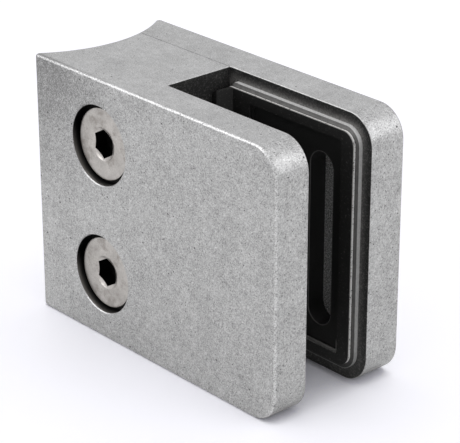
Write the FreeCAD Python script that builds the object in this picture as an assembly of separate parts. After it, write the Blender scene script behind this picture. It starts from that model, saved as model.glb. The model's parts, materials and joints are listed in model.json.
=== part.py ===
import FreeCAD, Part
import math
import os

# Glass panel clamp for a round post. Millimetres, +Z up.
# The clamp stands on its long side. The post is at -X, the glass comes in from +X, the front jaw is at -Y.
# The origin is at the middle of the underside.

# Casting
LENGTH = 57.5
HEIGHT = 45.0
THICKNESS = 26.5
FRONT_JAW = 6.5
REAR_JAW = 7.0
WEB_LENGTH = 25.7
JAW_CORNER_RADIUS = 5.0
HORN_TIP_RADIUS = 0.7
EDGE_RADIUS = 0.5
SLOT_EDGE_BEVEL = 0.12
SEAM_BEVEL = 0.12
ROOT_RADIUS = 0.5

# Saddle for the post
POST_DIAMETER = 42.4

# Screw that fixes the clamp to the post: only its passage is part of the clamp
FIXING_HOLE_DIAMETER = 6.6
FIXING_HEAD_DIAMETER = 11.0
FIXING_HEAD_DEPTH = 6.5

# Clamping screws, M6 countersunk with a hexagon socket
SCREW_DIAMETER = 6.0
SCREW_LENGTH = 20.0
SCREW_HEAD_DIAMETER = 12.0
SCREW_HEAD_LAND = 0.4
SCREW_TIP_BEVEL = 0.6
SOCKET_FLATS = 4.1
SOCKET_DEPTH = 2.6
SOCKET_MOUTH_DIAMETER = 5.0
SCREW_SPACING = 22.5
SCREW_TO_HORN = 16.1
HEAD_BELOW_FACE = 1.0

# Passages of the clamping screws
COUNTERBORE_DIAMETER = 13.4
COUNTERBORE_DEPTH = 1.9
SCREW_HOLE_DIAMETER = 6.6
COUNTERBORE_EDGE = 0.15

# Bosses of the cover plate that hold the threads and slide in the web
BOSS_DIAMETER = 11.0
BOSS_LENGTH = 4.0
BOSS_BEVEL = 0.5
THREAD_DEPTH_IN_PLATE = 3.0

# Rubber pad, heights measured from the face of its jaw towards the glass
PAD_MARGIN_OPEN_END = 2.0
PAD_MARGIN_SIDES = 2.0
PAD_FLANGE_HEIGHT = 0.65
PAD_RIM_HEIGHT = 1.3
PAD_LEDGE = 0.8
PAD_RIM_WIDTH = 1.6
PAD_RIM_EXTRA_OPEN_END = 0.9
PAD_RIM_EXTRA_LIP_END = 2.4
PAD_PANEL_DEPTH = 0.55
PAD_PANEL_STEPS = 2
PAD_PANEL_STEP = 0.45
PAD_CORNER_RADIUS = 3.0
PAD_LIP_HEIGHT = 4.0
PAD_LIP_LAND = 1.0
PAD_LIP_SLOPE = 0.9
PAD_LIP_CORNER_RADIUS = 1.2
PAD_FOOT_BEVEL = 0.8

# Slot of the pad, its spigot and the pocket of the casting behind it
SLOT_WIDTH = 5.1
SLOT_LENGTH = 29.4
SLOT_TO_OPEN_END = 9.9
SPIGOT_WALL = 1.6
POCKET_DEPTH = 2.6

# Clearances
THREAD_CLEARANCE = 0.05
SEAT_CLEARANCE = 0.1
BOSS_CLEARANCE = 0.1
BOSS_END_CLEARANCE = 0.3
PAD_TO_WEB = 0.2
SPIGOT_CLEARANCE = 0.1

# Places worked out from the sizes above
X_HORN = -LENGTH / 2
X_OPEN = LENGTH / 2
X_WEB = X_HORN + WEB_LENGTH
Y_FRONT = -THICKNESS / 2
Y_BACK = THICKNESS / 2
Y_FRONT_INNER = Y_FRONT + FRONT_JAW
Y_REAR_INNER = Y_BACK - REAR_JAW
Y_POST = 0.0
Z_MIDDLE = HEIGHT / 2

# The rounded tips of the saddle touch the end plane at X_HORN, so the sharp tips lie a little outside it
POST_RADIUS = POST_DIAMETER / 2
TIP_TO_AXIS = math.sqrt((POST_RADIUS + HORN_TIP_RADIUS) ** 2 - (THICKNESS / 2 - HORN_TIP_RADIUS) ** 2)
POST_AXIS_X = X_HORN + HORN_TIP_RADIUS - TIP_TO_AXIS
X_SHARP_TIP = POST_AXIS_X + math.sqrt(POST_RADIUS ** 2 - (THICKNESS / 2) ** 2)
X_SADDLE = POST_AXIS_X + POST_RADIUS
X_SCREW = X_HORN + SCREW_TO_HORN
SCREW_HEIGHTS = {
    "upper_screw": Z_MIDDLE + SCREW_SPACING / 2,
    "lower_screw": Z_MIDDLE - SCREW_SPACING / 2,
}
X_SLOT = X_OPEN - SLOT_TO_OPEN_END

# How far cutting shapes reach past what they cut, and what counts as the same place or a smooth join
OVERCUT = 1.0
SAME_PLACE = 1e-4
PROBE = 0.01
SMOOTH_ANGLE = math.radians(5)


def vector(x, y, z):
    return FreeCAD.Vector(x, y, z)


def closed_wire(points):
    """A closed wire of straight edges through the points."""
    return Part.makePolygon(points + [points[0]])


def rounded_outline(x_left, x_right, z_low, z_high, left_radius, right_radius, y):
    """A wire in the XZ plane at y: a rectangle with one corner radius at each end."""
    edges = []
    corners = [
        (x_right, z_low, right_radius, 1, 1),
        (x_right, z_high, right_radius, 1, -1),
        (x_left, z_high, left_radius, -1, -1),
        (x_left, z_low, left_radius, -1, 1),
    ]
    joints = []
    for x, z, radius, side, rise in corners:
        diagonal = radius * (1 - math.sqrt(0.5))
        on_level = vector(x - side * radius, y, z)
        on_upright = vector(x, y, z + rise * radius)
        middle = vector(x - side * diagonal, y, z + rise * diagonal)
        if side * rise > 0:
            joints.append((on_level, middle, on_upright))
        else:
            joints.append((on_upright, middle, on_level))
    for index, (start, middle, end) in enumerate(joints):
        following = joints[(index + 1) % len(joints)][0]
        edges.append(Part.Arc(start, middle, end).toShape())
        edges.append(Part.LineSegment(end, following).toShape())
    return Part.Wire(edges)


def oblong(x_middle, z_middle, width, length, y):
    """A wire in the XZ plane at y: an upright slot outline with round ends."""
    half = width / 2
    straight = length / 2 - half
    low = z_middle - straight
    high = z_middle + straight
    right_low = vector(x_middle + half, y, low)
    right_high = vector(x_middle + half, y, high)
    left_high = vector(x_middle - half, y, high)
    left_low = vector(x_middle - half, y, low)
    return Part.Wire([
        Part.LineSegment(right_low, right_high).toShape(),
        Part.Arc(right_high, vector(x_middle, y, high + half), left_high).toShape(),
        Part.LineSegment(left_high, left_low).toShape(),
        Part.Arc(left_low, vector(x_middle, y, low - half), right_low).toShape(),
    ])


def prism_along_y(wire, depth):
    """The solid that a wire in the XZ plane sweeps along Y."""
    return Part.Face(wire).extrude(vector(0, depth, 0))


def revolve_about_y(x, z, profile):
    """A solid of revolution about the line through x and z along Y, from (radius, y) points."""
    wire = closed_wire([vector(x + radius, y, z) for radius, y in profile])
    return Part.Face(wire).revolve(vector(x, 0, z), vector(0, 1, 0), 360)


def normal_beside(face, point):
    u, v = face.Surface.parameter(point)
    return face.normalAt(u, v)


def sharp_outer_edges(shape):
    """The edges that stand out of a solid, without the smooth ones and the inner corners."""
    found = []
    for edge in shape.Edges:
        faces = shape.ancestorsOfType(edge, Part.Face)
        if len(faces) != 2:
            continue
        middle = edge.valueAt((edge.FirstParameter + edge.LastParameter) / 2)
        first = normal_beside(faces[0], middle)
        second = normal_beside(faces[1], middle)
        if first.getAngle(second) < SMOOTH_ANGLE:
            continue
        beside = middle + (first - second).multiply(PROBE)
        if not shape.isInside(beside, SAME_PLACE, False):
            found.append(edge)
    return found


def round_the_slot(edge, bevel):
    """Whether an edge lies round the mouth of the glass slot, or within a bevel of it."""
    reach = bevel + SAME_PLACE
    return all(
        vertex.X > X_WEB - reach and Y_FRONT_INNER - reach < vertex.Y < Y_REAR_INNER + reach
        for vertex in edge.Vertexes)


def upright_edges(shape, x, y):
    """The edges of a solid that run along Z through x and y."""
    found = []
    for edge in shape.Edges:
        ends = [vertex.Point for vertex in edge.Vertexes]
        near = all(math.hypot(end.x - x, end.y - y) < SAME_PLACE for end in ends)
        if near and edge.Length > HEIGHT / 2:
            found.append(edge)
    return found


def bevel_seam(casting):
    """Eases the outline of the face on which the two castings meet."""
    seam_faces = [
        face for face in casting.Faces
        if abs(face.BoundBox.YMin - Y_REAR_INNER) < SAME_PLACE and face.BoundBox.YLength < SAME_PLACE
        and face.BoundBox.XMin < X_SADDLE]
    return casting.makeChamfer(SEAM_BEVEL, seam_faces[0].OuterWire.Edges)


def casting_block():
    """Both castings as one block: two jaws, the web between them and the saddle, with eased edges."""
    front_tip = vector(X_SHARP_TIP, Y_FRONT, 0)
    back_tip = vector(X_SHARP_TIP, Y_BACK, 0)
    points = [
        front_tip,
        vector(X_OPEN, Y_FRONT, 0),
        vector(X_OPEN, Y_FRONT_INNER, 0),
        vector(X_WEB, Y_FRONT_INNER, 0),
        vector(X_WEB, Y_REAR_INNER, 0),
        vector(X_OPEN, Y_REAR_INNER, 0),
        vector(X_OPEN, Y_BACK, 0),
        back_tip,
    ]
    edges = [Part.LineSegment(a, b).toShape() for a, b in zip(points, points[1:])]
    edges.append(Part.Arc(back_tip, vector(X_SADDLE, Y_POST, 0), front_tip).toShape())
    block = Part.Face(Part.Wire(edges)).extrude(vector(0, 0, HEIGHT))
    tips = upright_edges(block, X_SHARP_TIP, Y_FRONT) + upright_edges(block, X_SHARP_TIP, Y_BACK)
    block = block.makeFillet(HORN_TIP_RADIUS, tips)
    jaw_corners = [
        edge for edge in block.Edges
        if all(vertex.X > X_OPEN - SAME_PLACE for vertex in edge.Vertexes) and edge.Length < HEIGHT / 2]
    block = block.makeFillet(JAW_CORNER_RADIUS, jaw_corners)
    slot_edges = [edge for edge in sharp_outer_edges(block) if round_the_slot(edge, 0)]
    block = block.makeChamfer(SLOT_EDGE_BEVEL, slot_edges)
    outside = [edge for edge in sharp_outer_edges(block) if not round_the_slot(edge, SLOT_EDGE_BEVEL)]
    return block.makeFillet(EDGE_RADIUS, outside)


def slab(y_from, y_to):
    """A slab across the whole clamp between two places along Y."""
    corner = vector(X_HORN - OVERCUT, y_from, -OVERCUT)
    return Part.makeBox(LENGTH + 2 * OVERCUT, y_to - y_from, HEIGHT + 2 * OVERCUT, corner)


def screw_passage(z):
    """What the front casting leaves free for one clamping screw and for the boss that it draws."""
    y_counterbore = Y_FRONT + COUNTERBORE_DEPTH
    y_cone = Y_FRONT + HEAD_BELOW_FACE + SCREW_HEAD_LAND + SEAT_CLEARANCE
    seat_radius = SCREW_HEAD_DIAMETER / 2 - (y_counterbore - y_cone)
    hole_radius = SCREW_HOLE_DIAMETER / 2
    y_hole = y_counterbore + seat_radius - hole_radius
    pocket_radius = BOSS_DIAMETER / 2 + BOSS_CLEARANCE
    y_pocket = Y_REAR_INNER - BOSS_LENGTH - BOSS_END_CLEARANCE
    counterbore_radius = COUNTERBORE_DIAMETER / 2
    return revolve_about_y(X_SCREW, z, [
        (0, Y_FRONT - COUNTERBORE_EDGE),
        (counterbore_radius + 2 * COUNTERBORE_EDGE, Y_FRONT - COUNTERBORE_EDGE),
        (counterbore_radius, Y_FRONT + COUNTERBORE_EDGE),
        (counterbore_radius, y_counterbore),
        (seat_radius, y_counterbore),
        (hole_radius, y_hole),
        (hole_radius, y_pocket),
        (pocket_radius, y_pocket),
        (pocket_radius, Y_REAR_INNER + OVERCUT),
        (0, Y_REAR_INNER + OVERCUT),
    ])


def fixing_passage():
    """The stepped passage through the web for the screw that goes into the post."""
    start = vector(X_HORN - OVERCUT, Y_POST, Z_MIDDLE)
    hole = Part.makeCylinder(FIXING_HOLE_DIAMETER / 2, WEB_LENGTH + 2 * OVERCUT, start, vector(1, 0, 0))
    seat = vector(X_WEB - FIXING_HEAD_DEPTH, Y_POST, Z_MIDDLE)
    head = Part.makeCylinder(FIXING_HEAD_DIAMETER / 2, FIXING_HEAD_DEPTH + OVERCUT, seat, vector(1, 0, 0))
    return hole.fuse(head)


def pad_pocket(y_face, into):
    """The oblong pocket in a jaw that takes the spigot of its pad. into is +1 or -1 along Y."""
    width = SLOT_WIDTH + 2 * (SPIGOT_WALL + SPIGOT_CLEARANCE)
    length = SLOT_LENGTH + 2 * (SPIGOT_WALL + SPIGOT_CLEARANCE)
    wire = oblong(X_SLOT, Z_MIDDLE, width, length, y_face - into * OVERCUT)
    return prism_along_y(wire, into * (POCKET_DEPTH + OVERCUT))


def clamp_body(block):
    body = block.common(slab(Y_FRONT - OVERCUT, Y_REAR_INNER))
    body = body.makeFillet(ROOT_RADIUS, upright_edges(body, X_WEB, Y_FRONT_INNER))
    body = bevel_seam(body)
    for z in SCREW_HEIGHTS.values():
        body = body.cut(screw_passage(z))
    body = body.cut(fixing_passage())
    return body.cut(pad_pocket(Y_FRONT_INNER, -1))


def threaded_boss(z):
    """A round boss on the inner face of the cover plate."""
    radius = BOSS_DIAMETER / 2
    y_end = Y_REAR_INNER - BOSS_LENGTH
    return revolve_about_y(X_SCREW, z, [
        (0, y_end),
        (radius - BOSS_BEVEL, y_end),
        (radius, y_end + BOSS_BEVEL),
        (radius, Y_REAR_INNER + OVERCUT),
        (0, Y_REAR_INNER + OVERCUT),
    ])


def threaded_hole(z):
    """The blind hole through a boss into the plate, with a flat end."""
    radius = SCREW_DIAMETER / 2 + THREAD_CLEARANCE
    y_mouth = Y_REAR_INNER - BOSS_LENGTH - OVERCUT
    y_bottom = Y_REAR_INNER + THREAD_DEPTH_IN_PLATE
    return Part.makeCylinder(radius, y_bottom - y_mouth, vector(X_SCREW, y_mouth, z), vector(0, 1, 0))


def cover_plate(block):
    cover = block.common(slab(Y_REAR_INNER, Y_BACK + OVERCUT))
    for z in SCREW_HEIGHTS.values():
        cover = cover.fuse(threaded_boss(z))
    for z in SCREW_HEIGHTS.values():
        cover = cover.cut(threaded_hole(z))
    return cover.cut(pad_pocket(Y_REAR_INNER, 1)).removeSplitter()


def hexagon_socket(x, y_face, z):
    """The driver socket of a screw: a hexagon with a conical mouth."""
    corner = SOCKET_FLATS / math.sqrt(3)
    turns = [math.radians(60 * side) for side in range(6)]
    points = [vector(x + corner * math.sin(turn), y_face, z + corner * math.cos(turn)) for turn in turns]
    hexagon = prism_along_y(closed_wire(points), SOCKET_DEPTH)
    mouth_radius = SOCKET_MOUTH_DIAMETER / 2
    inner_radius = SOCKET_FLATS / 2
    mouth = revolve_about_y(x, z, [
        (0, y_face),
        (mouth_radius, y_face),
        (inner_radius, y_face + mouth_radius - inner_radius),
        (0, y_face + mouth_radius - inner_radius),
    ])
    return hexagon.fuse(mouth)


def clamping_screw(z):
    """A countersunk screw in its seat, with the thread as a plain shank of the thread's outer size."""
    y_face = Y_FRONT + HEAD_BELOW_FACE
    head_radius = SCREW_HEAD_DIAMETER / 2
    shank_radius = SCREW_DIAMETER / 2
    y_cone = y_face + SCREW_HEAD_LAND
    y_tip = y_face + SCREW_LENGTH
    screw = revolve_about_y(X_SCREW, z, [
        (0, y_face),
        (head_radius, y_face),
        (head_radius, y_cone),
        (shank_radius, y_cone + head_radius - shank_radius),
        (shank_radius, y_tip - SCREW_TIP_BEVEL),
        (shank_radius - SCREW_TIP_BEVEL, y_tip),
        (0, y_tip),
    ])
    return screw.cut(hexagon_socket(X_SCREW, y_face, z))


def pad_plate(x_left, x_right, margin, left_radius, right_radius, y_from, y_to):
    """A plate of the pad with its long edges at one margin from the top and the bottom of the jaw."""
    wire = rounded_outline(x_left, x_right, margin, HEIGHT - margin, left_radius, right_radius, y_from)
    return prism_along_y(wire, y_to - y_from)


def rubber_pad(y_face, towards_glass):
    """One pad on its jaw face: flange, raised rim, lip, sunken panel, spigot and slot.

    towards_glass is +1 or -1, the direction along Y in which heights are measured.
    """
    def level(pad_height):
        return y_face + towards_glass * pad_height

    x_lip = X_WEB + PAD_TO_WEB
    x_rim = x_lip + PAD_LIP_LAND + PAD_LIP_SLOPE
    x_flange_end = X_OPEN - PAD_MARGIN_OPEN_END
    x_rim_end = x_flange_end - PAD_LEDGE
    rim_margin = PAD_MARGIN_SIDES + PAD_LEDGE
    flange = pad_plate(
        x_rim - PAD_LEDGE, x_flange_end, PAD_MARGIN_SIDES,
        PAD_LEDGE, PAD_CORNER_RADIUS, level(0), level(PAD_FLANGE_HEIGHT))
    raised = pad_plate(
        x_lip, x_rim_end, rim_margin,
        PAD_LIP_CORNER_RADIUS, PAD_CORNER_RADIUS - PAD_LEDGE, level(0), level(PAD_LIP_HEIGHT))
    over_rim = closed_wire([
        vector(x_lip + PAD_LIP_LAND, level(PAD_LIP_HEIGHT), 0),
        vector(x_rim, level(PAD_RIM_HEIGHT), 0),
        vector(X_OPEN, level(PAD_RIM_HEIGHT), 0),
        vector(X_OPEN, level(PAD_LIP_HEIGHT + OVERCUT), 0),
        vector(x_lip + PAD_LIP_LAND, level(PAD_LIP_HEIGHT + OVERCUT), 0),
    ])
    raised = raised.cut(Part.Face(over_rim).extrude(vector(0, 0, HEIGHT)))
    foot = closed_wire([
        vector(x_lip, level(0), 0),
        vector(x_lip + PAD_FOOT_BEVEL, level(0), 0),
        vector(x_lip, level(PAD_FOOT_BEVEL), 0),
    ])
    raised = raised.cut(Part.Face(foot).extrude(vector(0, 0, HEIGHT)))
    pad = flange.fuse(raised)
    x_panel = x_rim + PAD_RIM_WIDTH + PAD_RIM_EXTRA_LIP_END
    x_panel_end = x_rim_end - PAD_RIM_WIDTH - PAD_RIM_EXTRA_OPEN_END
    for step in range(PAD_PANEL_STEPS):
        inset = step * PAD_PANEL_STEP
        floor = PAD_RIM_HEIGHT - PAD_PANEL_DEPTH * (step + 1) / PAD_PANEL_STEPS
        pad = pad.cut(pad_plate(
            x_panel + inset, x_panel_end - inset, rim_margin + PAD_RIM_WIDTH + inset,
            PAD_PANEL_STEP, PAD_PANEL_STEP, level(floor), level(PAD_RIM_HEIGHT + OVERCUT)))
    spigot_width = SLOT_WIDTH + 2 * SPIGOT_WALL
    spigot_length = SLOT_LENGTH + 2 * SPIGOT_WALL
    spigot = oblong(X_SLOT, Z_MIDDLE, spigot_width, spigot_length, level(-POCKET_DEPTH))
    pad = pad.fuse(prism_along_y(spigot, towards_glass * (POCKET_DEPTH + PAD_FLANGE_HEIGHT / 2)))
    slot = oblong(X_SLOT, Z_MIDDLE, SLOT_WIDTH, SLOT_LENGTH, level(-POCKET_DEPTH - OVERCUT))
    pad = pad.cut(prism_along_y(slot, towards_glass * (POCKET_DEPTH + PAD_RIM_HEIGHT + 2 * OVERCUT)))
    return pad.removeSplitter()


def write(name, shape):
    shape.exportStep(os.path.join("parts", name + ".step"))
    state = "valid" if shape.isValid() else "NOT VALID"
    print(name, state, len(shape.Solids), "solid", round(shape.Volume, 1), "mm3")


os.makedirs("parts", exist_ok=True)
casting = casting_block()
write("clamp_body", clamp_body(casting))
write("cover_plate", cover_plate(casting))
for screw_name, screw_height in SCREW_HEIGHTS.items():
    write(screw_name, clamping_screw(screw_height))
write("front_pad", rubber_pad(Y_FRONT_INNER, 1))
write("rear_pad", rubber_pad(Y_REAR_INNER, -1))
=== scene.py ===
import json
import logging
import math
from dataclasses import dataclass
from enum import Enum
from typing import Callable, Dict, List, Mapping, Optional, Sequence, Tuple, Union

import bmesh
import bpy
from mathutils import Matrix, Vector


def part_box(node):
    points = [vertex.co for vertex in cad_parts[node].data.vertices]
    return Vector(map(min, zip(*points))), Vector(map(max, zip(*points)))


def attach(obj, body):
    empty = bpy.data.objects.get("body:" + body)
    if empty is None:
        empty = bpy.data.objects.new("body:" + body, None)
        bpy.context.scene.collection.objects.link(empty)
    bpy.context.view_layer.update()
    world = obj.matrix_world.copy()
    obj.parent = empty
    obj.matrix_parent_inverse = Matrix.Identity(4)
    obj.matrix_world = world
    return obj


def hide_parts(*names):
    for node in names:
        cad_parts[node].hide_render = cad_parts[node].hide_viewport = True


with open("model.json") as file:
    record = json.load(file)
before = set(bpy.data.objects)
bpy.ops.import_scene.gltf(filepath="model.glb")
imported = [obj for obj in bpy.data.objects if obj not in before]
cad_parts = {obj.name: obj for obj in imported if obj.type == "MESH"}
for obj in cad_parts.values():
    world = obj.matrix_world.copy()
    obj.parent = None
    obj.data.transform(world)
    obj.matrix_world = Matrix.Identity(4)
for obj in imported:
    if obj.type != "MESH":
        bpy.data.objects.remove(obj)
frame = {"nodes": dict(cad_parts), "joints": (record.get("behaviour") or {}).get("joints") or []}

LOG = logging.getLogger("glass_panel_clamp")

MM = 0.001
WORLD_PER_MM = 1000.0

Colour = Tuple[float, float, float]
Value = Union["Signal", float]
Profile = Union[float, Callable[[float], float]]
# Where a soft step is 0 and where it is 1.
Span = Tuple[float, float]


class Body(Enum):
    """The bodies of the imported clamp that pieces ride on."""

    FRONT = "front_casting"
    COVER = "cover"
    UPPER_SCREW = "upper_screw"
    LOWER_SCREW = "lower_screw"


class Slot(Enum):
    """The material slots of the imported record."""

    ZINC = "zinc_casting"
    STEEL = "screw_steel"
    RUBBER = "pad_rubber"


class Signal:
    """One output socket of a shader graph. Arithmetic on it adds Math nodes."""

    def __init__(self, graph: "Graph", socket: bpy.types.NodeSocket) -> None:
        """Wraps a socket.

        Args:
            graph: the graph that the socket belongs to.
            socket: the output socket.
        """
        self.graph = graph
        self.socket = socket

    def __add__(self, other: Value) -> "Signal":
        """This plus other."""
        return self.graph.math("ADD", self, other)

    def __radd__(self, other: Value) -> "Signal":
        """Other plus this."""
        return self.graph.math("ADD", other, self)

    def __sub__(self, other: Value) -> "Signal":
        """This minus other."""
        return self.graph.math("SUBTRACT", self, other)

    def __rsub__(self, other: Value) -> "Signal":
        """Other minus this."""
        return self.graph.math("SUBTRACT", other, self)

    def __mul__(self, other: Value) -> "Signal":
        """This times other."""
        return self.graph.math("MULTIPLY", self, other)

    def __rmul__(self, other: Value) -> "Signal":
        """Other times this."""
        return self.graph.math("MULTIPLY", other, self)

    def __abs__(self) -> "Signal":
        """The size of this, without its sign."""
        return self.graph.math("ABSOLUTE", self, 0.0)

    def at_least(self, other: Value) -> "Signal":
        """The greater of this and other."""
        return self.graph.math("MAXIMUM", self, other)

    def at_most(self, other: Value) -> "Signal":
        """The lesser of this and other."""
        return self.graph.math("MINIMUM", self, other)

    def step(self, low: Value, high: Value) -> "Signal":
        """A soft step from 0 at low to 1 at high, or down where low is the greater.

        Args:
            low: where the step is 0.
            high: where the step is 1.

        Returns:
            The step.
        """
        sockets = {"Value": self, "From Min": low, "From Max": high}
        return self.graph.node("ShaderNodeMapRange", {"interpolation_type": "SMOOTHSTEP"}, sockets)

    def step_from(self, edge: float, span: Span) -> "Signal":
        """A soft step over a span that is measured from an edge."""
        return self.step(edge + span[0], edge + span[1])


@dataclass(frozen=True)
class Clouding:
    """A layer of cloudy noise.

    per_mm is the features in a millimetre. octaves is how many finer layers it has, and fineness is how much
    of them shows.
    """

    per_mm: float
    octaves: float
    fineness: float


@dataclass(frozen=True)
class Speckle:
    """A layer of round spots of uneven size.

    per_mm is the cells in a millimetre, each with one spot or none. radius is the largest spot's, as a share
    of a cell. share is the share of cells that have a spot. shift moves the pattern, so that layers differ.
    """

    per_mm: float
    radius: float
    share: float
    shift: float = 0.0


class Graph:
    """The node tree of one material or world, built from expressions."""

    def __init__(self, owner: Union[bpy.types.Material, bpy.types.World]) -> None:
        """Empties the owner's tree.

        Args:
            owner: the material or world whose tree this is.
        """
        owner.use_nodes = True
        self.tree = owner.node_tree
        self.tree.nodes.clear()

    def node(
        self,
        kind: str,
        settings: Optional[Mapping[str, object]] = None,
        sockets: Optional[Mapping[Union[str, int], object]] = None,
        output: Union[str, int] = 0,
    ) -> Signal:
        """Adds any node.

        Args:
            kind: the node's type.
            settings: its own properties, set first.
            sockets: values or signals for its inputs, by name or number.
            output: the output that the signal stands for.

        Returns:
            The signal of that output.
        """
        made = self.tree.nodes.new(kind)
        for name, value in (settings or {}).items():
            setattr(made, name, value)
        for name, value in (sockets or {}).items():
            if isinstance(value, Signal):
                self.tree.links.new(value.socket, made.inputs[name])
            else:
                made.inputs[name].default_value = value
        return Signal(self, made.outputs[output]) if made.outputs else Signal(self, made.inputs[0])

    def math(self, operation: str, first: Value, second: Value) -> Signal:
        """A Math node.

        Args:
            operation: the node's operation.
            first: its first value.
            second: its second value.

        Returns:
            The result.
        """
        return self.node("ShaderNodeMath", {"operation": operation}, {0: first, 1: second})

    def blend(self, share: Value, first: Union[Signal, Colour], second: Union[Signal, Colour]) -> Signal:
        """A mix of two colours.

        Args:
            share: 0 for the first colour, 1 for the second.
            first: the first colour.
            second: the second colour.

        Returns:
            The mixed colour.
        """
        first_value = first if isinstance(first, Signal) else (*first, 1.0)
        second_value = second if isinstance(second, Signal) else (*second, 1.0)
        sockets = {0: share, 6: first_value, 7: second_value}
        return self.node("ShaderNodeMix", {"data_type": "RGBA"}, sockets, 2)

    def millimetres(self) -> Signal:
        """The place on the piece, in millimetres."""
        place = self.node("ShaderNodeTexCoord", output="Object")
        return self.node("ShaderNodeVectorMath", {"operation": "SCALE"}, {0: place, "Scale": WORLD_PER_MM})

    def part(self, vector: Signal, axis: str) -> Signal:
        """One part of a vector.

        Args:
            vector: the vector.
            axis: "X", "Y" or "Z".

        Returns:
            That part.
        """
        return self.node("ShaderNodeSeparateXYZ", None, {0: vector}, axis)

    def from_axis(self, place: Signal, centre: Vector, across: Sequence[float]) -> Signal:
        """How far a place is from an axis.

        Args:
            place: the place.
            centre: a point on the axis.
            across: 1 for each direction across the axis and 0 along it.

        Returns:
            The distance.
        """
        flat = self.node("ShaderNodeVectorMath", {"operation": "MULTIPLY"}, {0: place, 1: tuple(across)})
        foot = tuple(c * a for c, a in zip(centre, across))
        return self.node("ShaderNodeVectorMath", {"operation": "DISTANCE"}, {0: flat, 1: foot}, "Value")

    def seen(self) -> Signal:
        """Which rays look at a surface.

        Returns:
            1 for rays that see it, straight or in gloss or glass, and 0 for rays that light it.
        """
        camera = self.node("ShaderNodeLightPath", None, None, "Is Camera Ray")
        glossy = Signal(self, camera.socket.node.outputs["Is Glossy Ray"])
        through = Signal(self, camera.socket.node.outputs["Is Transmission Ray"])
        return camera.at_least(glossy).at_least(through)

    def looked_at(self) -> Signal:
        """1 for rays that come straight from the camera, and 0 for all others."""
        return self.node("ShaderNodeLightPath", None, None, "Is Camera Ray")

    def noise(self, place: Signal, layer: Clouding) -> Signal:
        """Cloudy noise about 0.5.

        Args:
            place: where, in millimetres.
            layer: the noise's scale and fineness.

        Returns:
            The noise.
        """
        sockets = {
            "Vector": place,
            "Scale": layer.per_mm,
            "Detail": layer.octaves,
            "Roughness": layer.fineness,
        }
        return self.node("ShaderNodeTexNoise", {"noise_dimensions": "3D"}, sockets)

    def spots(self, place: Signal, layer: Speckle) -> Signal:
        """Round spots, 1 at their middle and 0 outside.

        Args:
            place: where, in millimetres.
            layer: the spots' size, share and shift.

        Returns:
            The spots.
        """
        shift = (layer.shift, layer.shift, layer.shift)
        moved = self.node("ShaderNodeVectorMath", {"operation": "ADD"}, {0: place, 1: shift})
        sockets = {"Vector": moved, "Scale": layer.per_mm}
        cells = self.node("ShaderNodeTexVoronoi", {"feature": "F1"}, sockets, "Distance")
        tint = Signal(self, cells.socket.node.outputs["Color"])
        chance = self.part(tint, "X")
        size = chance.step(1.0 - layer.share, 1.0) * layer.radius
        return (size - cells).step(0.0, 0.4 * layer.radius)

    def finish(
        self,
        colour: Union[Signal, Colour],
        roughness: Value,
        metallic: Value,
        height: Optional[Signal],
        height_mm: float,
        others: Optional[Mapping[str, Value]] = None,
    ) -> None:
        """Ends a material in one Principled shader.

        Args:
            colour: its base colour.
            roughness: its roughness.
            metallic: how metallic it is.
            height: the relief, from 0 to 1, or None.
            height_mm: the relief's depth.
            others: values or signals for other sockets, by name.
        """
        sockets: Dict[Union[str, int], object] = {
            "Base Color": colour if isinstance(colour, Signal) else (*colour, 1.0),
            "Roughness": roughness,
            "Metallic": metallic,
        }
        sockets.update(others or {})
        if height is not None:
            bump = {"Height": height, "Distance": height_mm * MM, "Strength": 1.0}
            sockets["Normal"] = self.node("ShaderNodeBump", None, bump)
        shader = self.node("ShaderNodeBsdfPrincipled", None, sockets)
        self.node("ShaderNodeOutputMaterial", None, {"Surface": shader})


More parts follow.
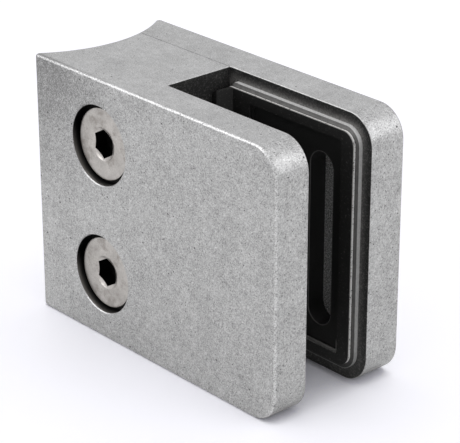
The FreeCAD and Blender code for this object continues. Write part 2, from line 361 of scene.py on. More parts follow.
class Layout:
    """Places on the clamp in millimetres, read from the frame."""

    FRONT_JAW = 6.5
    PAD_TO_WEB = 0.2
    JAW_CORNER = 5.0
    SLOT_TO_OPEN_END = 9.9
    # How much painted light from above is left at the bottom of the slot, and how high that reaches.
    LOW_LIGHT_SHARE = 0.35
    LOW_LIGHT_REACH = 7.5

    def __init__(self) -> None:
        """Reads the frame."""
        body_low, body_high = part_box("clamp_body")
        pad_low, pad_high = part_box("front_pad")
        self.horn = body_low.x / MM
        self.open_end = body_high.x / MM
        self.front = body_low.y / MM
        self.front_inner = self.front + self.FRONT_JAW
        self.rear_inner = body_high.y / MM
        self.web = pad_low.x / MM - self.PAD_TO_WEB
        self.top = body_high.z / MM
        self.middle = (body_low.z + body_high.z) / 2 / MM
        self.pad_margin = (body_high.x - pad_high.x) / MM
        self.pad_slot = self.open_end - self.SLOT_TO_OPEN_END
        self.screws: Dict[str, Vector] = {}
        for joint in frame["joints"]:
            if joint["type"] == "hinge":
                self.screws[joint["child"]] = Vector(joint["pos_m"]) / MM

    def depth_in_slot(self, graph: Graph, place: Signal) -> Signal:
        """How far a place is from the nearer jaw's inner face.

        Args:
            graph: the material's graph.
            place: the place in millimetres.

        Returns:
            The distance, which grows towards the middle of the slot and is below 0 inside a jaw.
        """
        middle = (self.front_inner + self.rear_inner) / 2
        half = (self.rear_inner - self.front_inner) / 2
        return half - abs(graph.part(place, "Y") - middle)

    def from_above(self, graph: Graph, place: Signal) -> Signal:
        """How much painted light from above falls on a place.

        Args:
            graph: the material's graph.
            place: the place in millimetres.

        Returns:
            The share, most at the top of the slot and least at the bottom.
        """
        height = graph.part(place, "Z")
        upper = height.step(self.top - self.JAW_CORNER, self.top - self.pad_margin)
        lower = height.step(0.0, self.LOW_LIGHT_REACH)
        return lower * self.LOW_LIGHT_SHARE + upper * (1.0 - self.LOW_LIGHT_SHARE)

    def inset(self, graph: Graph, place: Signal) -> Signal:
        """How far a place is inside the outline of the jaws, seen from the side.

        Args:
            graph: the material's graph.
            place: the place in millimetres.

        Returns:
            The distance from the outline with its round corners.
        """
        past_x = graph.part(place, "X") - (self.open_end - self.JAW_CORNER)
        past_z = abs(graph.part(place, "Z") - self.middle) - (self.top - self.middle - self.JAW_CORNER)
        out_x = past_x.at_least(0.0)
        out_z = past_z.at_least(0.0)
        corner = graph.math("SQRT", out_x * out_x + out_z * out_z, 0.0)
        return self.JAW_CORNER - corner - past_x.at_least(past_z).at_most(0.0)


@dataclass(frozen=True)
class CastZinc:
    """The raw skin of the die castings: grey, finely speckled, pitted, and black where no light gets in.

    A span is in millimetres from the edge that it names. Where it names specks it is in the grain's own
    strength, and lit_margin is in shares of the pad's margin.
    """

    layout: Layout
    dark: Colour = (0.19, 0.189, 0.191)
    pale: Colour = (0.64, 0.64, 0.645)
    pit: Colour = (0.07, 0.068, 0.068)
    nick_and_highlight: Colour = (0.95, 0.95, 0.96)
    painted_hollow_shade: Colour = (0.012, 0.012, 0.012)
    shadowed: Colour = (0.034, 0.034, 0.034)
    shadowed_speck: Colour = (0.15, 0.148, 0.145)
    dust_and_painted_light: Colour = (0.27, 0.262, 0.255)
    pocket_dark: Colour = (0.22, 0.22, 0.22)
    pocket_pale: Colour = (0.85, 0.85, 0.85)
    grain: Clouding = Clouding(4.4, 2.0, 0.8)
    mottle: Clouding = Clouding(0.75, 3.0, 0.65)
    cloud: Clouding = Clouding(0.16, 2.0, 0.5)
    grain_share: float = 2.1
    mottle_share: float = 0.55
    cloud_share: float = 0.3
    pits: Speckle = Speckle(2.4, 0.33, 0.2)
    pocks: Speckle = Speckle(0.8, 0.17, 0.3, 3.1)
    nicks: Speckle = Speckle(2.6, 0.3, 0.24, 7.3)
    pit_strength: float = 0.75
    pock_strength: float = 0.9
    nick_strength: float = 0.5
    rubbed_and_highlit_strength: float = 0.28
    roughness: float = 0.41
    dulling: float = 0.6
    relief: float = 0.012
    grain_height: float = 0.7
    mottle_height: float = 0.6
    grain_roughness: float = 0.3
    hole_roughness: float = 0.2
    shade_reach: float = 26.0
    shade_depth: float = 0.36
    counterbore: float = 6.7
    counterbore_depth: float = 1.9
    bore_light_top: float = 0.3
    bore_light_from: float = 1.0
    left_share: float = 0.5
    pocket_depth: float = 2.6
    pocket_half_width: float = 4.3
    patch_contrast: float = 2.5
    patch_level: float = 0.8
    past_web: Span = (-0.07, -0.03)
    past_jaw: Span = (-0.06, -0.02)
    past_bore_edge: Span = (0.12, 0.22)
    before_bore_end: Span = (0.5, 0.0)
    inside_bore: Span = (0.1, 0.03)
    lit_margin: Span = (0.2, 1.05)
    on_jaw_face: Span = (0.2, 0.1)
    shadow_specks: Span = (0.0, 0.2)
    pocket_specks: Span = (-0.1, 0.15)
    on_pocket_floor: Span = (0.2, 0.1)
    inside_pocket: Span = (0.0, -0.2)
    off_jaw_edge: Span = (0.5, 1.0)
    front_edge_rounding: Span = (0.45, 0.3)
    rubbed_and_highlit_specks: Span = (-0.15, 0.1)
    near_front: Span = (1.0, 0.5)
    upper_half: Span = (0.0, 0.01)

    def in_slot(self, graph: Graph, place: Signal) -> Signal:
        """Where the casting lies inside the glass slot: 1 there and 0 on the outside.

        Args:
            graph: the material's graph.
            place: the place in millimetres.

        Returns:
            The mask.
        """
        lay = self.layout
        within = graph.part(place, "X").step_from(lay.web, self.past_web)
        return within * lay.depth_in_slot(graph, place).step(*self.past_jaw)

    def in_counterbore(self, graph: Graph, place: Signal) -> Signal:
        """Where the casting lies inside a screw's counterbore: 1 there and 0 on the outside.

        Args:
            graph: the material's graph.
            place: the place in millimetres.

        Returns:
            The mask.
        """
        lay = self.layout
        past_edge = graph.part(place, "Y").step_from(lay.front, self.past_bore_edge)
        past_edge = past_edge * graph.part(place, "Y").step_from(lay.front_inner, self.before_bore_end)
        within = 0.0
        for centre in lay.screws.values():
            reach = graph.from_axis(place, centre, (1.0, 0.0, 1.0))
            within = reach.step_from(self.counterbore, self.inside_bore) + within
        return within * past_edge

    def shelter(self, graph: Graph, place: Signal, clean: Signal, grain: Signal) -> Signal:
        """Paints shade on the casting in the slot and the counterbores, and painted light where light falls
        from above or into a counterbore's lower left.

        Args:
            graph: the material's graph.
            place: the place in millimetres.
            clean: the colour outside.
            grain: the fine grain.

        Returns:
            The colour.
        """
        lay = self.layout
        # Painted light from above on the jaw's inner face near the pad; elsewhere in the slot, painted shade
        # with pale specks.
        dark_share, lit_share = self.lit_margin
        near_pad = lay.inset(graph, place).step(lay.pad_margin * dark_share, lay.pad_margin * lit_share)
        near_pad = near_pad * lay.depth_in_slot(graph, place).step(*self.on_jaw_face)
        sheltered = graph.blend((grain - 0.5).step(*self.shadow_specks), self.shadowed, self.shadowed_speck)
        patchy = ((grain - 0.5) * self.patch_contrast + self.patch_level).at_least(0.0).at_most(1.0)
        border = graph.blend(near_pad * lay.from_above(graph, place) * patchy, sheltered, self.dust_and_painted_light)
        colour = graph.blend(self.in_slot(graph, place), clean, border)
        floor = graph.blend((grain - 0.5).step(*self.pocket_specks), self.pocket_dark, self.pocket_pale)
        colour = graph.blend(self.in_pocket(graph, place), colour, floor)
        # Painted shade in the counterbores, with painted light on the lower left of their walls near the
        # face.
        up_the_wall = (self.counterbore_depth, self.bore_light_top)
        shallow = graph.part(place, "Y").step_from(lay.front, up_the_wall)
        wall = graph.blend(shallow * self.low_in_bore(graph, place), self.painted_hollow_shade, self.dust_and_painted_light)
        return graph.blend(self.in_counterbore(graph, place), colour, wall)

    def in_pocket(self, graph: Graph, place: Signal) -> Signal:
        """Where the casting is the floor of a pocket behind a pad's slot: 1 there and 0 elsewhere.

        Args:
            graph: the material's graph.
            place: the place in millimetres.

        Returns:
            The mask.
        """
        lay = self.layout
        off_floor = abs(lay.depth_in_slot(graph, place) + self.pocket_depth)
        across = abs(graph.part(place, "X") - lay.pad_slot)
        pocket = off_floor.step(*self.on_pocket_floor)
        pocket = pocket * across.step_from(self.pocket_half_width, self.inside_pocket)
        return pocket * lay.inset(graph, place).step(*self.off_jaw_edge)

    def on_front_edge_rounding(self, graph: Graph, place: Signal) -> Signal:
        """How far a place is on the rounded edge round the front face, from 0 to 1."""
        reach = self.layout.inset(graph, place) + graph.part(place, "Y") - self.layout.front
        return reach.step(*self.front_edge_rounding)

    def low_in_bore(self, graph: Graph, place: Signal) -> Signal:
        """How far a place in a counterbore lies towards its lower left, from 0 to 1.

        Args:
            graph: the material's graph.
            place: the place in millimetres.

        Returns:
            The share, which is 0 in the upper right.
        """
        spacing = abs(graph.part(place, "Z") - self.layout.middle)
        half_spacing = max(abs(centre.z - self.layout.middle) for centre in self.layout.screws.values())
        upper = graph.part(place, "Z").step_from(self.layout.middle, self.upper_half)
        lower = (half_spacing - spacing) * (upper * 2.0 - 1.0)
        centre_x = next(iter(self.layout.screws.values())).x
        leftward = centre_x - graph.part(place, "X")
        return (leftward * self.left_share + lower).step(self.bore_light_from, self.counterbore)

    def make(self) -> bpy.types.Material:
        """Builds the material.

        Returns:
            The material.
        """
        lay = self.layout
        material = bpy.data.materials.new("cast_zinc")
        graph = Graph(material)
        place = graph.millimetres()
        grain = graph.noise(place, self.grain)
        mottle = graph.noise(place, self.mottle)
        cloud = graph.noise(place, self.cloud)
        pits = graph.spots(place, self.pits) * self.pit_strength
        pocks = graph.spots(place, self.pocks) * self.pock_strength
        nicks = graph.spots(place, self.nicks) * self.nick_strength
        horn_top = Vector((lay.horn, lay.front, lay.top))
        shaded = graph.from_axis(place, horn_top, (1.0, 1.0, 1.0)).step(self.shade_reach, 0.0)
        shaded = shaded * graph.part(place, "Y").step_from(lay.front, self.near_front)
        tone = (grain - 0.5) * self.grain_share + (mottle - 0.5) * self.mottle_share
        tone = tone + (cloud - 0.5) * self.cloud_share + 0.5 - shaded * self.shade_depth
        colour = graph.blend(tone.at_least(0.0).at_most(1.0), self.dark, self.pale)
        # Rubbed wear and a painted highlight, in the pale nick colour, along the rounded edge round the
        # front face.
        rubbed_and_highlit = self.on_front_edge_rounding(graph, place) * (grain - 0.5).step(*self.rubbed_and_highlit_specks) * self.rubbed_and_highlit_strength
        colour = graph.blend(nicks.at_least(rubbed_and_highlit), colour, self.nick_and_highlight)
        holes = pits.at_least(pocks)
        colour = graph.blend(holes, colour, self.pit)
        colour = self.shelter(graph, place, colour, grain)
        rough = self.roughness + (grain - 0.5) * self.grain_roughness + holes * self.hole_roughness
        height = grain * self.grain_height + mottle * self.mottle_height - holes
        dulled = self.in_pocket(graph, place).at_least(self.in_slot(graph, place))
        graph.finish(colour, rough, 1.0 - dulled * self.dulling, height, self.relief)
        return material


@dataclass(frozen=True)
class Socket:
    """The hexagon socket of a clamping screw and the conical mouth that leads into it, in millimetres."""

    across: float = 4.35
    depth: float = 2.6
    mouth: float = 5.6
    cone_slope: float = 0.46

    def wall(self, angle: float) -> float:
        """The hexagon's radius at an angle."""
        side = math.radians(60)
        return self.across / 2 / math.cos((angle + side / 2) % side - side / 2)

    def edge(self, angle: float) -> float:
        """The depth at which the conical mouth meets the hexagon at an angle."""
        return (self.mouth / 2 - self.wall(angle)) * self.cone_slope


@dataclass(frozen=True)
class ScrewSteel:
    """The satin stainless steel of the screws: warm grey, faintly clouded, with painted shade down in the
    socket.
    """

    layout: Layout
    dark: Colour = (0.33, 0.313, 0.302)
    pale: Colour = (0.53, 0.507, 0.49)
    stain: Colour = (0.25, 0.23, 0.215)
    painted_hollow_shade: Colour = (0.03, 0.03, 0.03)
    socket: Socket = Socket()
    cloud: Clouding = Clouding(0.45, 3.0, 0.6)
    grain: Clouding = Clouding(4.0, 3.0, 0.75)
    stains: Clouding = Clouding(0.38, 4.0, 0.75)
    specks: Speckle = Speckle(2.2, 0.3, 0.3, 5.7)
    cloud_share: float = 1.7
    grain_share: float = 1.6
    level: float = 0.55
    stain_strength: float = 0.75
    speck_strength: float = 0.6
    roughness: float = 0.33
    cloud_roughness: float = 0.2
    grain_roughness: float = 0.1
    grain_height: float = 0.5
    relief: float = 0.006
    stained: Span = (0.48, 0.68)
    inside_mouth: Span = (-0.02, -0.06)
    past_cone: Span = (0.03, 0.08)

    def in_socket(self, graph: Graph, place: Signal) -> Signal:
        """Where the steel lies below the cone of a socket's mouth: 1 there and 0 elsewhere.

        Args:
            graph: the material's graph.
            place: the place in millimetres.

        Returns:
            The mask.
        """
        mouth = self.socket.mouth / 2
        within = 0.0
        for centre in self.layout.screws.values():
            reach = graph.from_axis(place, centre, (1.0, 0.0, 1.0))
            cone = (mouth - reach) * self.socket.cone_slope
            below_cone = graph.part(place, "Y") - centre.y - cone
            near = reach.step_from(mouth, self.inside_mouth)
            within = below_cone.step(*self.past_cone) * near + within
        return within

    def make(self) -> bpy.types.Material:
        """Builds the material.

        Returns:
            The material.
        """
        material = bpy.data.materials.new("screw_steel")
        graph = Graph(material)
        place = graph.millimetres()
        cloud = graph.noise(place, self.cloud)
        grain = graph.noise(place, self.grain)
        tone = (cloud - 0.5) * self.cloud_share + (grain - 0.5) * self.grain_share + self.level
        colour = graph.blend(tone.at_least(0.0).at_most(1.0), self.dark, self.pale)
        stains = graph.noise(place, self.stains).step(*self.stained)
        colour = graph.blend(stains * self.stain_strength, colour, self.stain)
        specks = graph.spots(place, self.specks)
        colour = graph.blend(specks * self.speck_strength, colour, self.stain)
        # Painted shade down in the socket.
        colour = graph.blend(self.in_socket(graph, place), colour, self.painted_hollow_shade)
        rough = self.roughness + (cloud - 0.5) * self.cloud_roughness
        rough = rough + (grain - 0.5) * self.grain_roughness
        graph.finish(colour, rough, 1.0, grain * self.grain_height + cloud, self.relief)
        return material


@dataclass(frozen=True)
class PadRubber:
    """The black rubber of the pads: grainy on the rim, with painted light on the ledge and painted
    highlights on the sides.

    A span is in millimetres from the edge that it names. Where it names specks it is in the noise's own
    strength.
    """

    layout: Layout
    base: Colour = (0.006, 0.006, 0.006)
    dust_and_painted_light: Colour = (0.09, 0.088, 0.086)
    ledge: Colour = (0.33, 0.325, 0.32)
    flange_side_light: Colour = (0.9, 0.9, 0.9)
    rim_side_highlight: Colour = (0.95, 0.94, 0.93)
    grain: Clouding = Clouding(2.6, 3.0, 0.8)
    ledge_patches: Clouding = Clouding(0.9, 3.0, 0.7)
    sparkle: Clouding = Clouding(2.2, 3.0, 0.85)
    roughness: float = 0.5
    grain_roughness: float = 0.3
    ledge_gloss: float = 0.15
    specular: float = 0.4
    relief: float = 0.03
    patch_lift: float = 0.4
    specks_from_above: float = 0.12
    slot_line: float = 0.5
    flange_height: float = 0.65
    rim_height: float = 1.3
    panel_height: float = 0.75
    sparkle_above_flange: float = 0.25
    ledge_width: float = 0.8
    slot_width: float = 5.1
    slot_length: float = 29.4
    slack: float = 0.07
    slot_rim: Span = (0.16, 0.06)
    up_to_panel: Span = (-0.2, -0.1)
    past_panel: Span = (0.04, 0.1)
    before_rim: Span = (-0.04, -0.1)
    up_to_rim: Span = (-0.12, -0.04)
    past_flange: Span = (0.02, 0.08)
    beside_flange: Span = (0.05, 0.0)
    past_ledge: Span = (0.0, -0.05)
    beside_rim: Span = (0.06, 0.0)
    low_on_pad: Span = (7.0, 6.0)
    dust_specks: Span = (0.05, 0.22)
    sparkle_specks: Span = (-0.14, -0.04)

    def on_slot_rim(self, graph: Graph, place: Signal, rise: Signal) -> Signal:
        """Where the rubber is the rim of the upright slot: 1 there and 0 elsewhere.

        Args:
            graph: the material's graph.
            place: the place in millimetres.
            rise: how far the place is from its jaw's inner face.

        Returns:
            The mask.
        """
        lay = self.layout
        past_end = abs(graph.part(place, "Z") - lay.middle) - (self.slot_length - self.slot_width) / 2
        past_end = past_end.at_least(0.0)
        across = graph.part(place, "X") - lay.pad_slot
        off_rim = graph.math("SQRT", across * across + past_end * past_end, 0.0) - self.slot_width / 2
        return abs(off_rim).step(*self.slot_rim) * rise.step_from(self.panel_height, self.up_to_panel)

    def on_panel_steps(self, graph: Graph, place: Signal, rise: Signal) -> Signal:
        """Where the rubber is the lower side of the sunken panel, which faces up: 1 there and 0 elsewhere.

        Args:
            graph: the material's graph.
            place: the place in millimetres.
            rise: how far the place is from its jaw's inner face.

        Returns:
            The mask.
        """
        between = rise.step_from(self.panel_height, self.past_panel)
        between = between * rise.step_from(self.rim_height, self.before_rim)
        return between * graph.part(place, "Z").step(*self.low_on_pad)

    def make(self) -> bpy.types.Material:
        """Builds the material.

        Returns:
            The material.
        """
        material = bpy.data.materials.new("pad_rubber")
        graph = Graph(material)
        place = graph.millimetres()
        rise = self.layout.depth_in_slot(graph, place)
        inset = self.layout.inset(graph, place) - self.layout.pad_margin
        raised = rise.step_from(self.rim_height, self.up_to_rim)
        above_flange = rise.step_from(self.flange_height, self.past_flange)
        flange_side = inset.step_from(self.slack, self.beside_flange) * (1.0 - above_flange)
        on_ledge = inset.step_from(self.ledge_width, self.past_ledge) * (1.0 - above_flange)
        light_from_above = self.layout.from_above(graph, place)
        rim_side = inset.step_from(self.ledge_width + self.slack, self.beside_rim) * above_flange
        grain = graph.noise(place, self.grain)
        # Dust specks on the raised rim, with more of them at the top as painted light from above.
        specks = (grain - 0.5).step(*self.dust_specks).at_least(light_from_above * self.specks_from_above) * raised
        colour = graph.blend(specks, self.base, self.dust_and_painted_light)
        # Painted highlights along the slot's rim and on the panel's steps that face up.
        lines = self.on_slot_rim(graph, place, rise) * self.slot_line
        lines = lines + self.on_panel_steps(graph, place, rise)
        colour = graph.blend(lines * (grain * 0.5 + 0.3), colour, self.ledge)
        # Painted light on the ledge, broken into patches and strongest at the top.
        ledge_patches = (graph.noise(place, self.ledge_patches) + self.patch_lift).at_most(1.0)
        colour = graph.blend(on_ledge * ledge_patches * light_from_above, colour, self.ledge)
        # Painted light on the flange's side, strongest at the top.
        flange_side_light = (grain + self.patch_lift).at_most(1.0)
        colour = graph.blend(flange_side * flange_side_light * (light_from_above * 0.8 + 0.2), colour, self.flange_side_light)
        # Painted highlight specks along the rim's side.
        sparkle = (graph.noise(place, self.sparkle) - 0.5).step(*self.sparkle_specks)
        sparkle = sparkle * rise.step(self.rim_height, self.flange_height + self.sparkle_above_flange)
        colour = graph.blend(rim_side * sparkle * (light_from_above * 0.3 + 0.7), colour, self.rim_side_highlight)
        rough = self.roughness + (grain - 0.5) * self.grain_roughness - on_ledge * self.ledge_gloss
        height = grain * (raised * 0.8 + 0.2) + sparkle * rim_side
        graph.finish(colour, rough, 0.0, height, self.relief, {"Specular IOR Level": self.specular})
        return material


class Castings:
    """The two zinc castings: the CAD nodes themselves, with their skin."""

    NODES = ("clamp_body", "cover_plate")

    def dress(self, skin: bpy.types.Material) -> None:
        """Gives both castings their material.

        Args:
            skin: the casting material.
        """
        for name in self.NODES:
            casting = frame["nodes"][name]
            casting.data.materials.clear()
            casting.data.materials.append(skin)
            LOG.info("dressed %s", name)


class Turning:
    """A turned form, built up ring by ring along its axis, which is local Z."""

    def __init__(self, segments: int) -> None:
        """Starts an empty form.

        Args:
            segments: the corners of each ring.
        """
        self.work = bmesh.new()
        self.segments = segments
        self.ring: List[bmesh.types.BMEdge] = []

    @staticmethod
    def place(verts: Sequence[bmesh.types.BMVert], radius: Profile, depth: Profile) -> None:
        """Sets a ring's corners out by their angle.

        Args:
            verts: the corners.
            radius: the radius, or a function of the angle.
            depth: the depth, or a function of the angle.
        """
        for vert in verts:
            angle = math.atan2(vert.co.y, vert.co.x)
            reach = radius(angle) if callable(radius) else radius
            vert.co.x = reach * math.cos(angle)
            vert.co.y = reach * math.sin(angle)
            vert.co.z = depth(angle) if callable(depth) else depth

    def start(self, radius: Profile, depth: Profile) -> None:
        """Makes the first ring and closes it.

        Args:
            radius: its radius.
            depth: its depth.
        """
        made = bmesh.ops.create_circle(self.work, cap_ends=True, segments=self.segments, radius=1.0)
        self.place(made["verts"], radius, depth)
        self.ring = list({edge for vert in made["verts"] for edge in vert.link_edges})

    def go(self, radius: Profile, depth: Profile) -> None:
        """Adds a ring.

        Args:
            radius: its radius.
            depth: its depth.
        """
        made = bmesh.ops.extrude_edge_only(self.work, edges=self.ring)["geom"]
        self.place([part for part in made if isinstance(part, bmesh.types.BMVert)], radius, depth)
        self.ring = [part for part in made if isinstance(part, bmesh.types.BMEdge)]

    def close(self) -> None:
        """Closes the last ring."""
        bmesh.ops.contextual_create(self.work, geom=self.ring)


@dataclass(frozen=True)
class ClampingScrew:
    """A countersunk screw with a hexagon socket and its thread."""

    node: str
    name: str
    body: Body
    head: float = 12.0
    land: float = 0.4
    easing: float = 0.2
    shank: float = 6.0
    core: float = 4.8
    socket: Socket = Socket()
    socket_floor_dip: float = 0.1
    wall_hold: float = 0.05
    mouth_easing: float = 0.03
    face_hold: float = 0.2
    tip_bevel: float = 0.6
    tip_taper: float = 0.1
    pitch: float = 1.0
    thread_foot: float = 0.42
    thread_crest: float = 0.07
    thread_sink: float = 0.05
    turns_before_thread: float = 1.6
    turns_after_thread: float = 0.6
    sharp_degrees: float = 24.0
    segments: int = 96
    steps_a_turn: int = 48

    def turn(self, length: float) -> Turning:
        """Turns the head, the core and the socket.

        Args:
            length: the screw's length.

        Returns:
            The turned form, from the floor of the socket to the tip.
        """
        head = self.head / 2
        shank = self.shank / 2
        core = self.core / 2
        socket = self.socket
        mouth = socket.mouth / 2
        soft = self.easing * (1 - math.sqrt(0.5))
        form = Turning(self.segments)
        form.start(socket.across / 4, socket.depth + self.socket_floor_dip)
        form.go(socket.wall, socket.depth)
        form.go(socket.wall, lambda angle: socket.edge(angle) + self.wall_hold)
        form.go(socket.wall, socket.edge)
        form.go(mouth, self.mouth_easing)
        form.go(mouth + self.mouth_easing, 0.0)
        form.go(mouth + self.face_hold, 0.0)
        form.go(head - self.easing - self.face_hold, 0.0)
        form.go(head - self.easing, 0.0)
        form.go(head - soft, soft)
        form.go(head, self.easing)
        form.go(head, self.land)
        cone_end = self.land + head - shank
        form.go(shank, cone_end)
        form.go(shank, cone_end + self.pitch)
        form.go(core, cone_end + self.pitch + shank - core)
        form.go(core, length - self.tip_bevel)
        form.go(shank - self.tip_bevel - self.tip_taper, length)
        form.close()
        return form

    def add_thread(self, work: bmesh.types.BMesh, length: float) -> None:
        """Winds the thread's ridge round the core.

        Args:
            work: the mesh that takes it.
            length: the screw's length.
        """
        core = self.core / 2 - self.thread_sink
        shank = self.shank / 2
        start = self.land + (self.head - self.shank) / 2 + self.turns_before_thread * self.pitch
        turns = (length - self.tip_bevel - start) / self.pitch - self.turns_after_thread
        corners = [
            (core, start - self.thread_foot), (shank, start - self.thread_crest),
            (shank, start + self.thread_crest), (core, start + self.thread_foot)]
        made = [bmesh.ops.create_vert(work, co=(radius, 0.0, depth)) for radius, depth in corners]
        verts = [vert["vert"][0] for vert in made]
        face = bmesh.ops.contextual_create(work, geom=verts)["faces"][0]
        steps = int(turns * self.steps_a_turn)
        bmesh.ops.spin(
            work, geom=[face, *face.edges, *face.verts], cent=(0, 0, 0), axis=(0, 0, 1),
            dvec=(0, 0, self.pitch / self.steps_a_turn), angle=math.tau * steps / self.steps_a_turn,
            steps=steps, use_merge=False, use_normal_flip=False, use_duplicate=False)

    def make(self, centre: Vector, skin: bpy.types.Material) -> None:
        """Builds the screw in its seat.

        Args:
            centre: the middle of its face, in millimetres.
            skin: its material.
        """
        low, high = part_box(self.node)
        length = (high.y - low.y) / MM
        work = self.turn(length).work
        self.add_thread(work, length)
        bmesh.ops.recalc_face_normals(work, faces=work.faces)
        into_casting = Matrix.Rotation(math.radians(-90), 4, "X")
        seat = Matrix.Scale(MM, 4) @ Matrix.Translation(centre) @ into_casting
        bmesh.ops.transform(work, matrix=seat, verts=work.verts)
        piece = finished_piece(self.name, work, skin, math.radians(self.sharp_degrees))
        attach(piece, self.body.value)
        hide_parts(self.node)
        LOG.info("made %s with %d faces", self.name, len(piece.data.polygons))


@dataclass(frozen=True)
class Pad:
    """One rubber pad, with the form of its CAD node and eased edges."""

    node: str
    name: str
    body: Body
    easing: float = 0.12
    easing_steps: int = 3
    merge_distance: float = 0.002
    flat_degrees: float = 1.0
    edge_degrees: float = 28.0

    def make(self, skin: bpy.types.Material) -> None:
        """Builds the pad from a merged copy of its node.

        Args:
            skin: its material.
        """
        source = frame["nodes"][self.node].data.copy()
        if "custom_normal" in source.attributes:
            source.attributes.remove(source.attributes["custom_normal"])
        work = bmesh.new()
        work.from_mesh(source)
        flat = math.radians(self.flat_degrees)
        turned = math.radians(self.edge_degrees)
        bmesh.ops.remove_doubles(work, verts=work.verts, dist=self.merge_distance * MM)
        bmesh.ops.dissolve_limit(work, angle_limit=flat, verts=work.verts, edges=work.edges)
        edges = [edge for edge in work.edges if edge.is_manifold and edge.calc_face_angle() > turned]
        bmesh.ops.bevel(
            work, geom=edges, offset=self.easing * MM, segments=self.easing_steps, profile=0.5,
            affect="EDGES", material=-1, clamp_overlap=True)
        piece = finished_piece(self.name, work, skin, None)
        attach(piece, self.body.value)
        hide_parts(self.node)
        LOG.info("made %s with %d faces", self.name, len(piece.data.polygons))


def finished_piece(
    name: str, work: bmesh.types.BMesh, skin: bpy.types.Material, sharp: Optional[float]
) -> bpy.types.Object:
    """Turns a finished bmesh into a shaded piece of the scene.

    Args:
        name: the piece's name.
        work: its mesh, which is freed.
        skin: its material.
        sharp: edges that turn by more than this stay sharp, or None for flat faces between eased edges.

    Returns:
        The piece.
    """
    mesh = bpy.data.meshes.new(name)
    work.to_mesh(mesh)
    work.free()
    for polygon in mesh.polygons:
        polygon.use_smooth = True
    mesh.materials.append(skin)
    piece = bpy.data.objects.new(name, mesh)
    bpy.context.scene.collection.objects.link(piece)
    if sharp is None:
        weighted = piece.modifiers.new("flat_faces", "WEIGHTED_NORMAL")
        weighted.keep_sharp = False
    else:
        mesh.set_sharp_from_angle(angle=sharp)
    return piece


@dataclass(frozen=True)
class SoftBox:
    """A lamp that faces the clamp.

    towards is its direction from the clamp. distance and size are in millimetres, and power is in watts.
    lights_floor says whether it lights matt surfaces, or only shines in glossy ones.
    """

    name: str
    towards: Tuple[float, float, float]
    distance: float
    size: Tuple[float, float]
    power: float
    lights_floor: bool


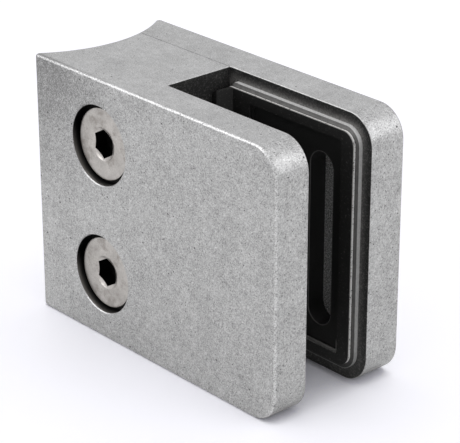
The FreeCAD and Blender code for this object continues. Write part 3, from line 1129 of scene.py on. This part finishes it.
@dataclass(frozen=True)
class Studio:
    """Floor, light and camera.

    distance, target, lens and sensor are in millimetres. floor_half, shadow_reach and the two clips are in
    metres.
    """

    azimuth: float = 48.214
    elevation: float = 23.926
    distance: float = 335.52
    target: Tuple[float, float, float] = (3.355, 0.464, 21.895)
    lens: float = 164.77
    sensor: float = 36.0
    clip_near: float = 0.01
    clip_far: float = 10.0
    tent_light: float = 0.74
    horizon_shade: float = 0.8
    band_side: Span = (0.5, 1.2)
    band_foot: Span = (0.0, 0.05)
    band_head: Span = (0.24, 0.16)
    floor_colour: Colour = (0.93, 0.93, 0.93)
    floor_shown: Colour = (0.925, 0.92, 1.0)
    floor_white: float = 0.3
    floor_half: float = 3.0
    floor_roughness: float = 0.9
    floor_specular: float = 0.1
    shadow_reach: float = 0.05
    shadow_samples: int = 8
    shadow_edge: Span = (0.44, 0.54)
    soft_boxes: Tuple[SoftBox, ...] = (
        SoftBox("top_box", (0.1, 0.15, 1.0), 500.0, (420.0, 420.0), 0.3, True),
        SoftBox("key_box", (-0.45, -0.6, 0.66), 500.0, (440.0, 400.0), 1.1, False),
        SoftBox("rim_box", (0.66, 0.6, 0.45), 400.0, (320.0, 320.0), 0.38, False))

    def make(self) -> None:
        """Builds the studio."""
        self.make_camera()
        self.make_world()
        self.make_floor()
        for box in self.soft_boxes:
            self.make_lamp(box)

    def back(self) -> Vector:
        """The direction from the target to the camera.

        Returns:
            The direction, one unit long.
        """
        turn = math.radians(self.azimuth)
        rise = math.radians(self.elevation)
        return Vector((math.sin(turn) * math.cos(rise), -math.cos(turn) * math.cos(rise), math.sin(rise)))

    def make_camera(self) -> None:
        """Places the camera at the photograph's viewing angle."""
        data = bpy.data.cameras.new("camera")
        data.sensor_width = self.sensor
        data.lens = self.lens
        data.clip_start = self.clip_near
        data.clip_end = self.clip_far
        camera = bpy.data.objects.new("camera", data)
        bpy.context.scene.collection.objects.link(camera)
        camera.rotation_mode = "QUATERNION"
        camera.location = (Vector(self.target) + self.back() * self.distance) * MM
        camera.rotation_quaternion = (-self.back()).to_track_quat("-Z", "Y")
        bpy.context.scene.camera = camera

    def make_world(self) -> None:
        """A light tent: white to the camera and in reflections, softer as light."""
        world = bpy.data.worlds.new("light_tent")
        bpy.context.scene.world = world
        graph = Graph(world)
        strength = graph.seen() * (1.0 - self.tent_light) + self.tent_light
        towards = graph.node("ShaderNodeTexCoord", output="Generated")
        height = graph.part(towards, "Z")
        right_back = (graph.part(towards, "X") + graph.part(towards, "Y")).step(*self.band_side)
        band = height.step(*self.band_foot) * height.step(*self.band_head) * right_back
        strength = strength * (1.0 - band * (1.0 - graph.looked_at()) * self.horizon_shade)
        sockets = {"Color": (1.0, 1.0, 1.0, 1.0), "Strength": strength}
        light = graph.node("ShaderNodeBackground", None, sockets)
        graph.node("ShaderNodeOutputWorld", None, {"Surface": light})

    def make_floor(self) -> None:
        """A plain pale floor that keeps the clamp's shadow."""
        work = bmesh.new()
        bmesh.ops.create_grid(work, x_segments=1, y_segments=1, size=self.floor_half)
        mesh = bpy.data.meshes.new("floor")
        work.to_mesh(mesh)
        work.free()
        floor = bpy.data.objects.new("floor", mesh)
        bpy.context.scene.collection.objects.link(floor)
        material = bpy.data.materials.new("floor")
        graph = Graph(material)
        settings = {"samples": self.shadow_samples}
        sockets = {"Distance": self.shadow_reach}
        openness = graph.node("ShaderNodeAmbientOcclusion", settings, sockets, "AO")
        white = graph.seen() * openness.step(*self.shadow_edge) * self.floor_white
        others = {
            "Specular IOR Level": self.floor_specular,
            "Emission Strength": 1.0,
            "Emission Color": graph.blend(white, (0.0, 0.0, 0.0), (1.0, 1.0, 1.0)),
        }
        colour = graph.blend(graph.looked_at(), self.floor_colour, self.floor_shown)
        graph.finish(colour, self.floor_roughness, 0.0, None, 0.0, others)
        mesh.materials.append(material)

    def make_lamp(self, box: SoftBox) -> None:
        """Adds one soft box that faces the clamp.

        Args:
            box: the soft box.
        """
        data = bpy.data.lights.new(box.name, "AREA")
        data.shape = "RECTANGLE"
        data.size = box.size[0] * MM
        data.size_y = box.size[1] * MM
        data.energy = box.power
        lamp = bpy.data.objects.new(box.name, data)
        lamp.visible_diffuse = box.lights_floor
        bpy.context.scene.collection.objects.link(lamp)
        direction = Vector(box.towards).normalized()
        lamp.location = (Vector(self.target) + direction * box.distance) * MM
        lamp.rotation_mode = "QUATERNION"
        lamp.rotation_quaternion = (-direction).to_track_quat("-Z", "Y")


def main() -> None:
    """Builds the looks of the clamp round its frame."""
    logging.basicConfig(level=logging.INFO, format="%(message)s")
    bpy.context.scene.view_settings.view_transform = "Standard"
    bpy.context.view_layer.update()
    Studio().make()
    layout = Layout()
    zinc = CastZinc(layout).make()
    steel = ScrewSteel(layout).make()
    rubber = PadRubber(layout).make()
    Castings().dress(zinc)
    for body in (Body.UPPER_SCREW, Body.LOWER_SCREW):
        ClampingScrew(body.value, body.value + "_fine", body).make(layout.screws[body.value], steel)
    Pad("front_pad", "front_pad_fine", Body.FRONT).make(rubber)
    Pad("rear_pad", "rear_pad_fine", Body.COVER).make(rubber)


if __name__ == "__main__":
    main()
